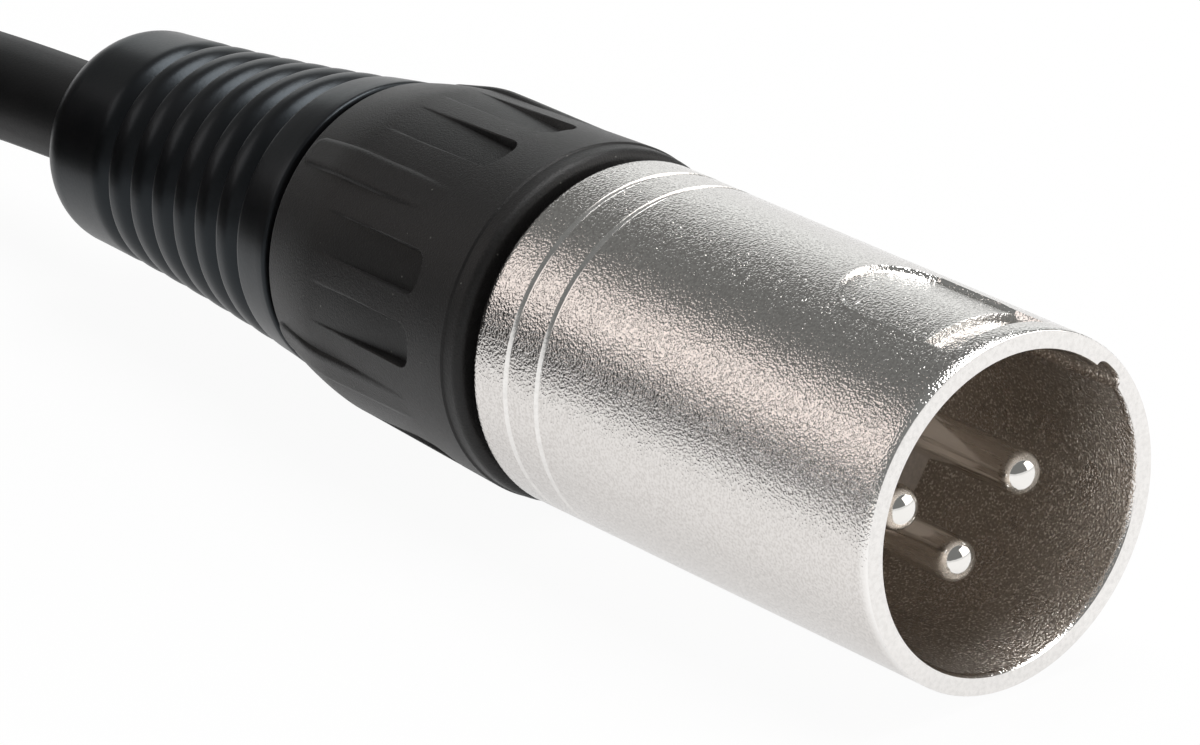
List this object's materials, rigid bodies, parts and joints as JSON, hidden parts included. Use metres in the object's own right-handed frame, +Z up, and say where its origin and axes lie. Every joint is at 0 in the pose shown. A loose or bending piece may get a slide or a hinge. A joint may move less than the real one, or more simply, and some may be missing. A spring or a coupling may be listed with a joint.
{
  "type": "microphone cable",
  "caption": "Microphone cable: pin plug with a satin nickel shell, black ribbed grip nut and rubber sleeve, a tied coil of round cable, and a matching socket connector with a push latch.",
  "frame": {"origin": "centre of the pin plug's footprint, on the surface that it lies on", "axes": "+X is the way the pin plug is pushed in, +Z is up with the latch recess on top, +Y is to the right facing the pins"},
  "size_m": [0.1613, 0.1042, 0.0242],
  "materials": {
    "satin_nickel": "satin nickel plate over a fine blasted grain",
    "black_insulator": "moulded",
    "silvered_contact": "polished silver plate",
    "natural_nylon": "moulded, uncoloured",
    "moulded_black": "fine matt texture with a smooth lip",
    "black_rubber": "smooth satin",
    "cable_jacket": "matt",
    "bare_screen": "twisted bare strands, shown as one core",
    "red_core": "smooth",
    "white_core": "smooth",
    "woven_strap": "woven hook-and-loop strap",
    "latch_steel": "satin"
  },
  "bodies": {
    "cable_assembly": {"male_shell": "satin_nickel", "male_insert": "black_insulator", "male_earth_clip": "silvered_contact", "male_pin_1": "silvered_contact", "male_pin_2": "silvered_contact", "male_pin_3": "silvered_contact", "male_chuck": "natural_nylon", "male_jacket": "cable_jacket", "male_wire_1": "bare_screen", "male_wire_2": "red_core", "male_wire_3": "white_core", "cable": "cable_jacket", "cable_coil": "cable_jacket", "cable_tail": "cable_jacket", "coil_tie_1": "woven_strap", "coil_tie_2": "woven_strap", "female_shell": "satin_nickel", "female_insert": "black_insulator", "female_socket_1": "silvered_contact", "female_socket_2": "silvered_contact", "female_socket_3": "silvered_contact", "latch_pin": "silvered_contact", "latch_spring": "silvered_contact", "female_chuck": "natural_nylon", "female_jacket": "cable_jacket", "female_wire_1": "bare_screen", "female_wire_2": "red_core", "female_wire_3": "white_core"},
    "male_sleeve_body": {"male_sleeve": "black_rubber"},
    "male_nut_body": {"male_nut": "moulded_black"},
    "female_sleeve_body": {"female_sleeve": "black_rubber"},
    "female_nut_body": {"female_nut": "moulded_black"},
    "latch_body": {"female_latch": "latch_steel"}
  },
  "joints": [
    {"name": "male_sleeve_slide", "type": "slide", "parent": "cable_assembly", "child": "male_sleeve_body", "axis": [-1, 0, 0], "range_m": [0, 0.0045]},
    {"name": "male_nut_turn", "type": "hinge", "parent": "male_sleeve_body", "child": "male_nut_body", "pos_m": [0, 0, 0.00979], "axis": [-1, 0, 0], "range_deg": [0, 1080]},
    {"name": "female_sleeve_slide", "type": "slide", "parent": "cable_assembly", "child": "female_sleeve_body", "axis": [-1, 0, 0], "range_m": [0, 0.0045]},
    {"name": "female_nut_turn", "type": "hinge", "parent": "female_sleeve_body", "child": "female_nut_body", "pos_m": [-0.0094, -0.08464, 0.00979], "axis": [-1, 0, 0], "range_deg": [0, 1080]},
    {"name": "latch_press", "type": "hinge", "parent": "cable_assembly", "child": "latch_body", "pos_m": [0.01262, -0.08464, 0.01649], "axis": [0, 1, 0], "range_deg": [0, 3.2], "stiffness_Nm_per_rad": 0.2, "springref_deg": -2.86, "deforming": ["latch_spring"]}
  ],
  "couplings": [
    {"joint": "male_sleeve_slide", "follows": "male_nut_turn", "m_per_rad": 0.00023873},
    {"joint": "female_sleeve_slide", "follows": "female_nut_turn", "m_per_rad": 0.00023873}
  ]
}
